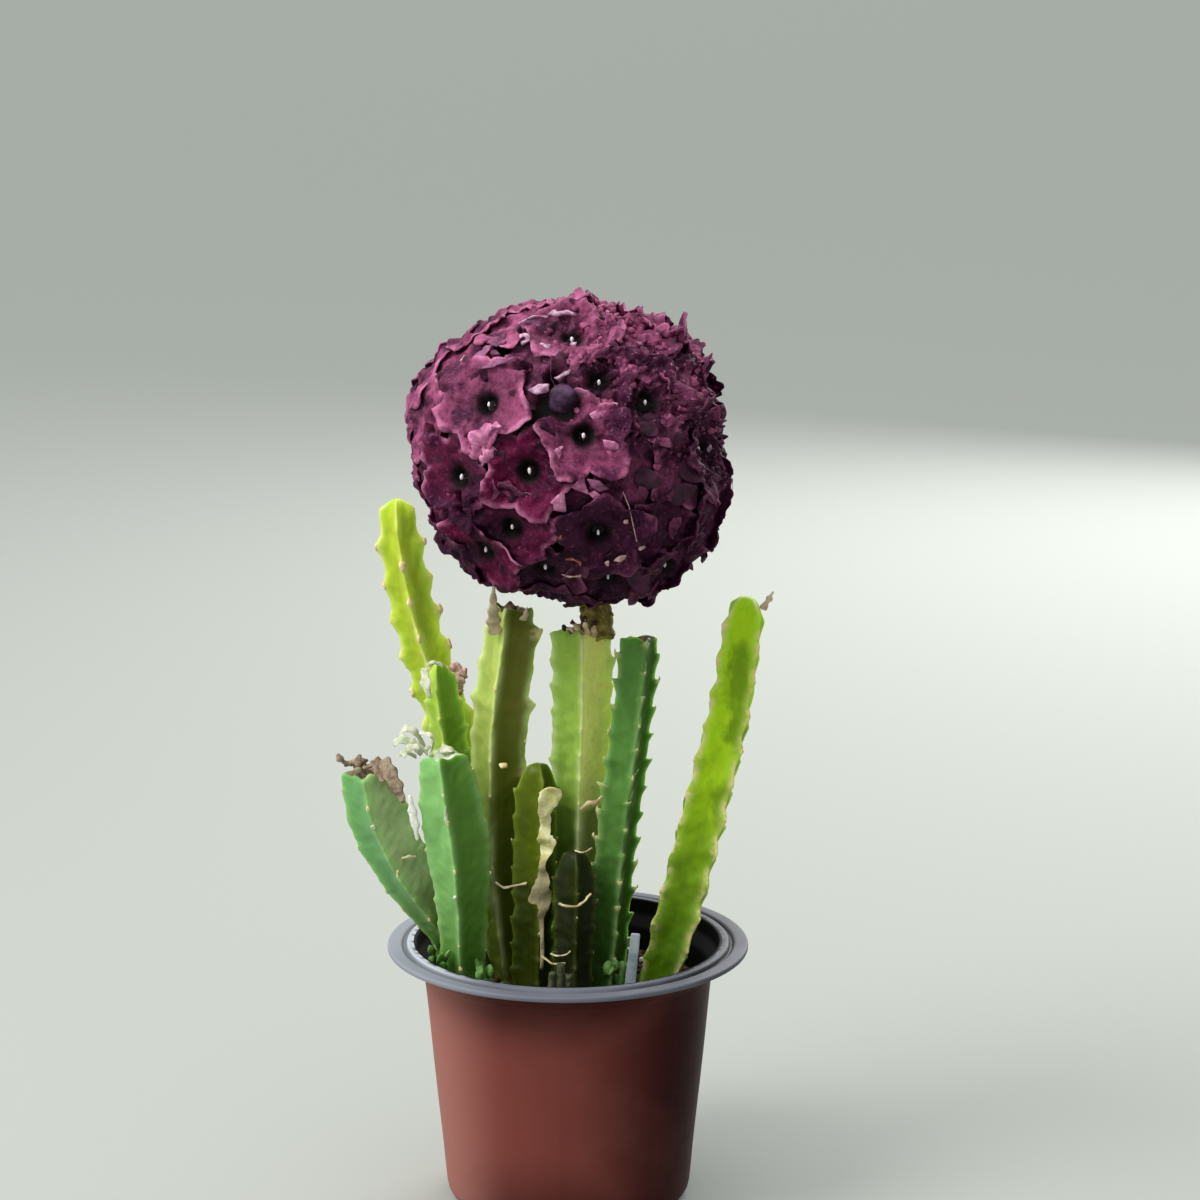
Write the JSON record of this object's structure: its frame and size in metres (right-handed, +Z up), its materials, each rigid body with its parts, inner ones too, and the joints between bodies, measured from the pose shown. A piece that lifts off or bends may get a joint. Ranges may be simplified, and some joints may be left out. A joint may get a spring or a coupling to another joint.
{
  "type": "potted caralluma",
  "caption": "Potted succulent: four-angled toothed stems in a small tapered nursery pot of soil, with one ball-shaped head of dark five-lobed florets.",
  "frame": {"origin": "middle of the pot's flat base, on the surface it stands on", "axes": "+Z up through the pot's axis, -Y towards the front of the plant, +X to its right"},
  "size_m": [0.1166, 0.1, 0.2533],
  "materials": {
    "pot": "satin moulded plastic, reddish brown outside with a grey rim and dark inside",
    "soil": "dry dark potting mix, matt",
    "lime_stem": "smooth waxy succulent skin, lime green",
    "dark_green_stem": "smooth waxy succulent skin, dark green",
    "olive_stem": "smooth waxy succulent skin, olive",
    "mid_green_stem": "smooth waxy succulent skin, mid green",
    "blue_green_stem": "smooth waxy succulent skin, blue-green",
    "corolla": "velvety dark purple petals",
    "label": "weathered pale plastic",
    "husk": "dry papery husk"
  },
  "bodies": {
    "root": {"pot": "pot", "soil": "soil", "left_tall_stem": "lime_stem", "left_shoot": "dark_green_stem", "left_middle_stem": "olive_stem", "middle_short_stem": "olive_stem", "flower_stem": "mid_green_stem", "blue_green_stem": "blue_green_stem", "front_short_stem": "dark_green_stem", "right_tall_stem": "lime_stem", "far_left_stem": "blue_green_stem", "front_left_stem": "blue_green_stem", "flower_head": "corolla", "plant_label": "label", "dried_husk": "husk"}
  },
  "joints": []
}
